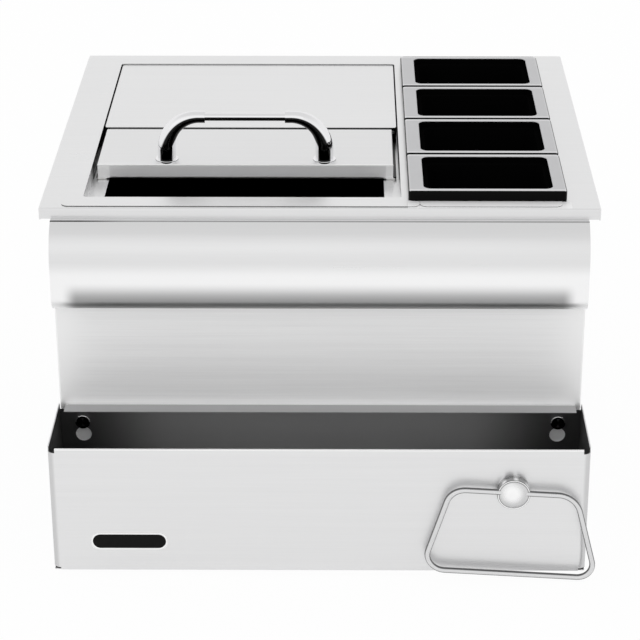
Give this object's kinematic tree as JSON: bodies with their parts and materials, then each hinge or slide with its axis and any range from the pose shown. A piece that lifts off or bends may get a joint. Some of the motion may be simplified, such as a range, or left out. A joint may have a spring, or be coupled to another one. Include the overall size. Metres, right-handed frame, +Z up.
{
  "type": "bar center",
  "caption": "Drop-in stainless bar center with an ice bin, sliding lid, condiment bins, bullnose front, lift-off speed rail and towel ring.",
  "frame": {"origin": "middle of the rim's underside plane, which rests on the counter: X midway across the rim, Y midway between the rim's front and back edges, Z on the seat", "axes": "+X to the right as seen from the bartender's side, +Y to the back, +Z up"},
  "size_m": [0.616, 0.666, 0.4521],
  "materials": {
    "brushed_stainless": "brushed along the width, bright",
    "satin_stainless": "satin round stock",
    "polished_stainless": "mirror polished",
    "galvanised_steel": "matt zinc sheet",
    "zinc_plated_steel": "zinc plated fasteners",
    "black_gloss_plastic": "moulded, glossy black",
    "white_slide_plastic": "smooth, waxy white",
    "insulation_foam": "foamed in place, matt",
    "black_rubber": "matt",
    "grey_drain_plastic": "moulded, satin grey",
    "dark_badge_metal": "black enamel, bare of print"
  },
  "bodies": {
    "chassis": {"rim_frame": "brushed_stainless", "ice_bin_liner": "brushed_stainless", "condiment_liner": "brushed_stainless", "foam_insulation": "insulation_foam", "outer_jacket": "galvanised_steel", "drain_body": "grey_drain_plastic", "drain_strainer": "brushed_stainless", "drain_gasket": "black_rubber", "drain_nut": "grey_drain_plastic", "bullnose": "brushed_stainless", "bullnose_cap_left": "brushed_stainless", "bullnose_cap_right": "brushed_stainless", "apron_bracket_left": "galvanised_steel", "apron_bracket_middle": "galvanised_steel", "apron_bracket_right": "galvanised_steel", "apron_panel": "brushed_stainless", "rail_stud_left": "polished_stainless", "rail_stud_right": "polished_stainless", "rail_stud_nut_left": "zinc_plated_steel", "rail_stud_nut_right": "zinc_plated_steel"},
    "lid": {"lid_box": "brushed_stainless", "lid_slide_plate": "brushed_stainless", "lid_glide_left": "white_slide_plastic", "lid_glide_right": "white_slide_plastic", "handle_bar": "polished_stainless", "handle_elbow_left": "polished_stainless", "handle_elbow_right": "polished_stainless", "handle_collar_left": "polished_stainless", "handle_collar_right": "polished_stainless", "handle_screw_left": "zinc_plated_steel", "handle_screw_right": "zinc_plated_steel"},
    "rear_cover": {"rear_cover": "brushed_stainless"},
    "bin_1": {"condiment_bin_1": "black_gloss_plastic"},
    "bin_2": {"condiment_bin_2": "black_gloss_plastic"},
    "bin_3": {"condiment_bin_3": "black_gloss_plastic"},
    "bin_4": {"condiment_bin_4": "black_gloss_plastic"},
    "speed_rail": {"rail_front_wrap": "brushed_stainless", "rail_back_wrap": "brushed_stainless", "badge_plate": "dark_badge_metal", "ring_knob": "satin_stainless", "ring_knob_screw": "zinc_plated_steel"},
    "towel_ring": {"towel_ring": "satin_stainless"}
  },
  "joints": [
    {"name": "lid_slide", "type": "slide", "parent": "chassis", "child": "lid", "axis": [0, -1, 0], "range_m": [0, 0.1]},
    {"name": "rear_cover_lift", "type": "slide", "parent": "chassis", "child": "rear_cover", "axis": [0, 0, 1], "range_m": [0, 0.06]},
    {"name": "bin_1_lift", "type": "slide", "parent": "chassis", "child": "bin_1", "axis": [0, 0, 1], "range_m": [0, 0.12]},
    {"name": "bin_2_lift", "type": "slide", "parent": "chassis", "child": "bin_2", "axis": [0, 0, 1], "range_m": [0, 0.12]},
    {"name": "bin_3_lift", "type": "slide", "parent": "chassis", "child": "bin_3", "axis": [0, 0, 1], "range_m": [0, 0.12]},
    {"name": "bin_4_lift", "type": "slide", "parent": "chassis", "child": "bin_4", "axis": [0, 0, 1], "range_m": [0, 0.12]},
    {"name": "rail_lift", "type": "slide", "parent": "chassis", "child": "speed_rail", "axis": [0, 0, 1], "range_m": [0, 0.017]},
    {"name": "ring_swing", "type": "hinge", "parent": "speed_rail", "child": "towel_ring", "pos_m": [0.213, -0.3946, -0.2677], "axis": [-0.9982, 0, 0.0593], "range_deg": [0, 180]}
  ]
}
